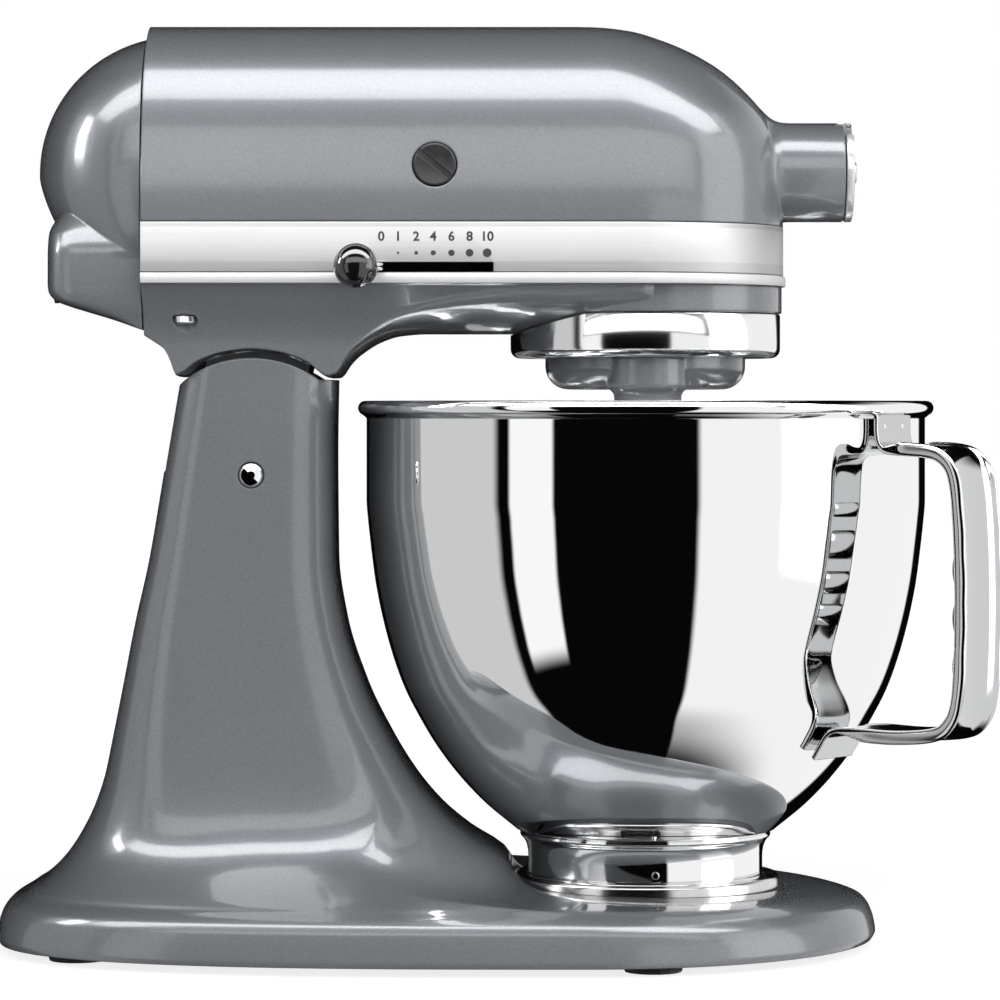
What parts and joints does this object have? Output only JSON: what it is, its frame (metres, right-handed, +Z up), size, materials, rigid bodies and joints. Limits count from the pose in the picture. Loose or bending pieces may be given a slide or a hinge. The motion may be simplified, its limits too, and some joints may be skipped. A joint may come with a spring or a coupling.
{
  "type": "tilt-head stand mixer",
  "caption": "Tilt-head stand mixer: weighted stand, hinged motor head with planetary beater drive and attachment hub, and a twist-lock metal bowl with a strap handle.",
  "frame": {"origin": "on the table, below the middle of the mixer's bounding box", "axes": "+X to the front of the mixer, +Y to the side away from the speed lever, +Z up"},
  "size_m": [0.3768, 0.224, 0.3546],
  "materials": {
    "paint": "clear-coated metallic grey",
    "chrome": "mirror polish",
    "stainless": "fine brushed",
    "steel": "machined",
    "aluminium": "as cast",
    "brass": "machined",
    "copper": "copper windings and bars",
    "black_plastic": "gloss black",
    "dark_plastic": "satin",
    "rubber": "matt",
    "carbon": "pressed carbon"
  },
  "bodies": {
    "base": {"stand": "paint", "bowl_clamp_plate": "stainless", "clamp_plate_screw_1": "steel", "clamp_plate_screw_2": "steel", "clamp_plate_screw_3": "steel", "rubber_foot_1": "rubber", "rubber_foot_2": "rubber", "rubber_foot_3": "rubber", "rubber_foot_4": "rubber", "rubber_foot_5": "rubber", "hinge_pin": "chrome", "head_height_screw": "steel"},
    "lock": {"lock_bolt": "steel", "lock_lever_knob": "black_plastic"},
    "head": {"gearcase": "paint", "motor_housing": "paint", "rear_cover": "paint", "rear_cover_screw": "chrome", "cord_grommet": "rubber", "trim_band": "stainless", "neck_screw_near": "chrome", "neck_screw_far": "chrome", "hub_cover_pin": "steel", "brush_cap_near": "dark_plastic", "brush_cap_far": "dark_plastic", "brush_holder_near": "brass", "brush_holder_far": "brass", "carbon_brush_near": "carbon", "carbon_brush_far": "carbon", "motor_stator": "steel", "front_bearing_bracket": "aluminium", "rear_bearing_bracket": "aluminium", "ring_gear": "steel", "drip_ring": "chrome", "speed_control_plate": "dark_plastic"},
    "armature": {"armature_shaft": "steel", "worm": "steel", "armature_core": "copper", "commutator": "copper", "cooling_fan": "aluminium"},
    "worm_wheel_shaft": {"worm_wheel": "brass", "pinion_shaft": "steel"},
    "planetary": {"centre_gear": "steel", "planetary_shaft": "steel", "planetary_hub": "paint"},
    "beater": {"planet_pinion": "steel", "beater_shaft": "steel", "flat_beater": "aluminium"},
    "hub_drive_shaft": {"hub_drive": "steel"},
    "speed_control": {"speed_lever": "chrome", "speed_knob": "black_plastic"},
    "hub_lid": {"hub_cover": "chrome"},
    "hub_thumbscrew": {"attachment_knob": "black_plastic"},
    "bowl": {"mixing_bowl": "chrome", "bowl_foot": "chrome", "bowl_handle": "chrome"}
  },
  "joints": [
    {"name": "head_tilt", "type": "hinge", "parent": "base", "child": "head", "pos_m": [-0.09055, 0, 0.182], "axis": [0, -1, 0], "range_deg": [0, 50]},
    {"name": "lock_slide", "type": "slide", "parent": "base", "child": "lock", "axis": [1, 0, 0], "range_m": [0, 0.011]},
    {"name": "planetary_spin", "type": "hinge", "parent": "head", "child": "planetary", "pos_m": [0.06015, 0, 0.236], "axis": [0, 0, 1], "continuous": true},
    {"name": "beater_spin", "type": "hinge", "parent": "planetary", "child": "beater", "pos_m": [0.06015, -0.02925, 0.236], "axis": [0, 0, 1], "continuous": true},
    {"name": "worm_wheel_spin", "type": "hinge", "parent": "head", "child": "worm_wheel_shaft", "pos_m": [0.02325, 0.02575, 0.2988], "axis": [0, 0, 1], "continuous": true},
    {"name": "motor_spin", "type": "hinge", "parent": "head", "child": "armature", "pos_m": [0.06015, 0, 0.2988], "axis": [1, 0, 0], "continuous": true},
    {"name": "hub_drive_spin", "type": "hinge", "parent": "head", "child": "hub_drive_shaft", "pos_m": [0.06015, 0, 0.2988], "axis": [1, 0, 0], "continuous": true},
    {"name": "speed_slide", "type": "slide", "parent": "head", "child": "speed_control", "axis": [1, 0, 0], "range_m": [0, 0.039]},
    {"name": "hub_cover_hinge", "type": "hinge", "parent": "head", "child": "hub_lid", "pos_m": [0.13865, 0, 0.3169], "axis": [0, -1, 0], "range_deg": [0, 110]},
    {"name": "attachment_knob_turn", "type": "hinge", "parent": "head", "child": "hub_thumbscrew", "pos_m": [0.09815, 0.05, 0.2988], "axis": [0, 1, 0], "continuous": true},
    {"name": "bowl_twist", "type": "hinge", "parent": "base", "child": "bowl", "pos_m": [0.06015, 0, 0.0208], "axis": [0, 0, 1], "range_deg": [0, 25]}
  ],
  "couplings": [
    {"joint": "beater_spin", "follows": "planetary_spin", "ratio": -4.25},
    {"joint": "worm_wheel_spin", "follows": "planetary_spin", "ratio": -3},
    {"joint": "motor_spin", "follows": "planetary_spin", "ratio": 45},
    {"joint": "hub_drive_spin", "follows": "planetary_spin", "ratio": 1}
  ]
}
